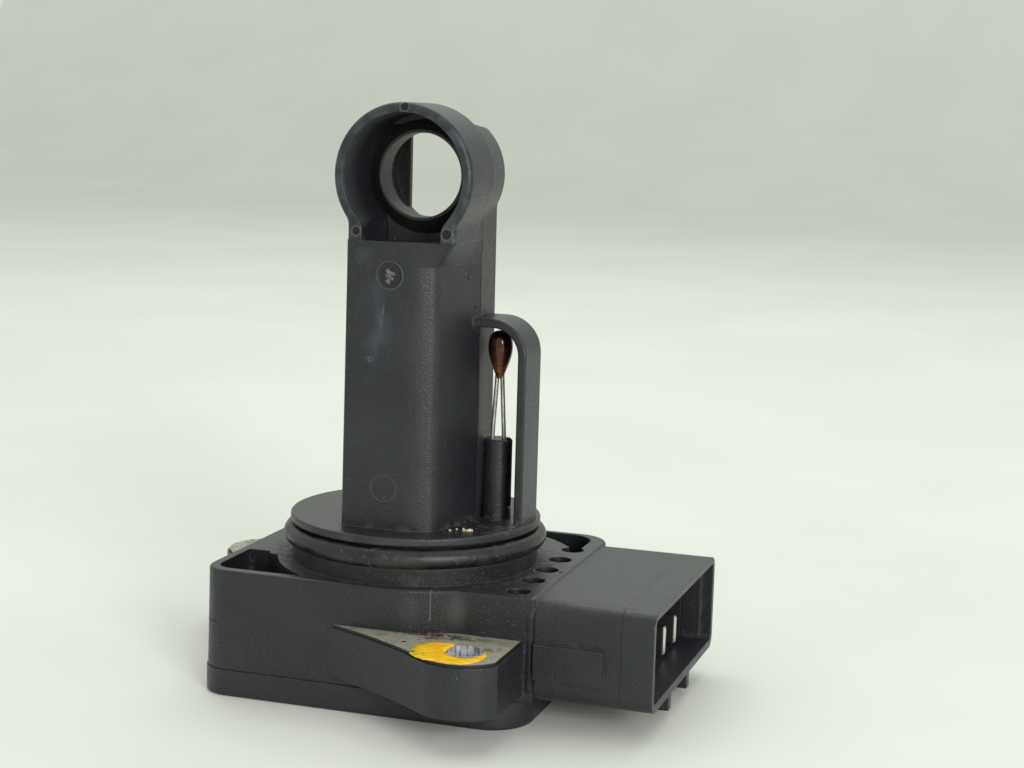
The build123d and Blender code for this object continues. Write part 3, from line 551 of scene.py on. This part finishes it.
def paint_daub():
    """Brushed dab of marking paint round the hole of the front ear."""
    dab = bmesh.new()
    hole = Vector((*EAR_HOLES[0], EAR_PLATE_TOP - PAINT_SINK)) * MM
    rows = []
    for angle, inner, outer in PAINT_SWEEP:
        out = Vector((math.cos(math.radians(angle)), math.sin(math.radians(angle)), 0)) * MM
        rows.append([dab.verts.new(hole + out * reach) for reach in (inner, 0.5 * (inner + outer), outer)])
    for before, after in zip(rows, rows[1:]):
        for first, second in ((0, 1), (1, 2)):
            dab.faces.new((before[first], before[second], after[second], after[first]))
    bmesh.ops.subdivide_edges(dab, edges=dab.edges[:], cuts=2, use_grid_fill=True)
    noise.seed_set(PAINT_SEED)
    for vertex in dab.verts:
        wobble = noise.noise_vector(vertex.co * 600) + 0.5 * noise.noise_vector(vertex.co * 1700)
        vertex.co += Vector((wobble.x, wobble.y, 0)) * 0.4 * MM
    bmesh.ops.recalc_face_normals(dab, faces=dab.faces)
    raised = bmesh.ops.extrude_face_region(dab, geom=dab.faces[:])["geom"]
    bmesh.ops.translate(dab, verts=new_vertices(raised), vec=(0, 0, PAINT_THICK * MM))
    add_piece("paint_daub", dab, paint_finish())


def lump(shape, place, size, seed):
    """Small irregular lump; place and size in millimetres."""
    made = bmesh.ops.create_icosphere(shape, subdivisions=2, radius=size * MM,
                                      matrix=Matrix.Translation(Vector(place) * MM))
    for vertex in made["verts"]:
        away = vertex.co - Vector(place) * MM
        vertex.co += away * 0.7 * noise.noise(vertex.co * 900 / size + Vector((seed, 0, 0)))


def broken_gate():
    """Torn stub of the moulding gate, standing in its round recess."""
    stub = bmesh.new()
    for index, (x, z, size) in enumerate(GATE_LUMPS):
        lump(stub, (GATE[0] + x, TOWER_FACE_Y + 0.2, GATE[1] + z), size, index)
    add_piece("gate_stub", stub, torn_finish())


def ring_web():
    """Web that closes the ring behind the bore, above the flat-topped outlet."""
    web = bmesh.new()
    bmesh.ops.create_circle(web, cap_ends=True, segments=96, radius=RING_BORE_R * MM)
    bmesh.ops.rotate(web, verts=web.verts, cent=(0, 0, 0), matrix=Matrix.Rotation(math.radians(90), 3, "X"))
    bmesh.ops.translate(web, verts=web.verts, vec=Vector((FLOW_AXIS[0], RING_BACK_Y, FLOW_AXIS[1])) * MM)
    bmesh.ops.bisect_plane(web, geom=web.verts[:] + web.edges[:] + web.faces[:], clear_inner=True,
                           plane_co=(0, 0, (FLOW_AXIS[1] + OUTLET_FLAT - WEB_OVERLAP) * MM),
                           plane_no=(0, 0, 1))
    raised = bmesh.ops.extrude_face_region(web, geom=web.faces[:])["geom"]
    bmesh.ops.translate(web, verts=new_vertices(raised), vec=(0, -WEB_THICK * MM, 0))
    add_piece("ring_web", web, insert_black, smooth=False)


def crumbs(name, heaps, size, finish, seed):
    """Crumbs lying in heaps, or round what is kept clear."""
    chance = random.Random(seed)
    shape = bmesh.new()
    for x, y, z, clear, spread, count in heaps:
        for _ in range(count):
            angle = chance.uniform(0, 2 * math.pi)
            away = clear + abs(chance.gauss(0, spread))
            where = (x + away * math.cos(angle), y + away * math.sin(angle), z)
            lump(shape, where, size * chance.uniform(0.5, 1.3), chance.uniform(0, 50))
    add_piece(name, shape, finish)


paint_daub()
broken_gate()
ring_web()
sand = two_toned("sand", (0.55, 0.43, 0.22), 0.6, 0.6, (0.85, 0.78, 0.6), 0.4)
crumbs("sand_grains", SAND_HEAPS, SAND_SIZE, sand, 3)
dirt = two_toned("dirt", (0.05, 0.042, 0.03), 0.9, 0.5, (0.13, 0.11, 0.08), 0.9)
crumbs("dirt_crumbs", DIRT_HEAPS, DIRT_SIZE, dirt, 5)


# ---- floor, backdrop, light and camera ----
def pale_stage():
    """Floor that sweeps up into a backdrop."""
    sheet = bmesh.new()
    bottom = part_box("base_cover")[0].z
    row = [sheet.verts.new((side, FLOOR_NEAR, bottom)) for side in (-FLOOR_SIDE, FLOOR_SIDE)]
    sheet.edges.new(row)
    path = [(SWEEP_START, 0.0)]
    for step in range(1, SWEEP_STEPS + 1):
        angle = math.radians(90 * step / SWEEP_STEPS)
        path.append((SWEEP_START + SWEEP_R * math.sin(angle), SWEEP_R - SWEEP_R * math.cos(angle)))
    path.append((SWEEP_START + SWEEP_R, BACKDROP_TOP))
    edges = list(sheet.edges)
    for y, z in path:
        made = bmesh.ops.extrude_edge_only(sheet, edges=edges)["geom"]
        edges = [item for item in made if isinstance(item, bmesh.types.BMEdge)]
        for vertex in new_vertices(made):
            vertex.co.y = y
            vertex.co.z = bottom + z
    floor = object_from(sheet, "floor")
    smooth_faces(floor.data)
    paper = Finish("pale_paper", (0.74, 0.765, 0.70), 0.9)
    paper.coat(paper.clouds(60.0, 0.35, 0.65, 3.0), (0.77, 0.79, 0.73))
    # painted light: the paper is painted lighter towards the top of the backdrop
    paper.coat(paper.ramp(paper.level(2), 0.0, 300.0), (0.88, 0.91, 0.85))
    floor.data.materials.append(paper.done())


def soft_lamp(name, place, aim, size, watts):
    """Square area lamp at a place, aimed at a point, both in millimetres; size in metres."""
    lamp = bpy.data.lights.new(name, "AREA")
    lamp.shape = "SQUARE"
    lamp.size = size
    lamp.energy = watts
    holder = bpy.data.objects.new(name, lamp)
    holder.location = Vector(place) * MM
    holder.rotation_euler = (Vector(aim) - Vector(place)).to_track_quat("-Z", "Y").to_euler()
    bpy.context.scene.collection.objects.link(holder)


def camera_at(place, forward, up, lens):
    """Camera at a place in millimetres, looking along forward."""
    back = -Vector(forward).normalized()
    right = Vector(up).cross(back).normalized()
    turn = Matrix((right, back.cross(right), back)).transposed().to_4x4()
    data = bpy.data.cameras.new("camera")
    data.lens = lens
    data.sensor_width = 36.0
    data.clip_start = 0.01
    holder = bpy.data.objects.new("camera", data)
    holder.matrix_world = Matrix.Translation(Vector(place) * MM) @ turn
    bpy.context.scene.collection.objects.link(holder)
    bpy.context.scene.camera = holder


def soft_room(colour, strength):
    """Even light from all round."""
    world = bpy.data.worlds.new("soft_room")
    bpy.context.scene.world = world
    world.use_nodes = True
    world.node_tree.nodes["Background"].inputs["Color"].default_value = colour
    world.node_tree.nodes["Background"].inputs["Strength"].default_value = strength


pale_stage()
soft_lamp("front", (420, -465, 190), (5, 0, 15), 0.2, 2.2)
soft_lamp("top", (-60, 260, 560), (0, 0, 10), 0.6, 1.6)
camera_at(CAMERA_PLACE, CAMERA_FORWARD, CAMERA_UP, CAMERA_LENS)
soft_room(ROOM_COLOUR, ROOM_LIGHT)
bpy.context.scene.view_settings.view_transform = "Standard"
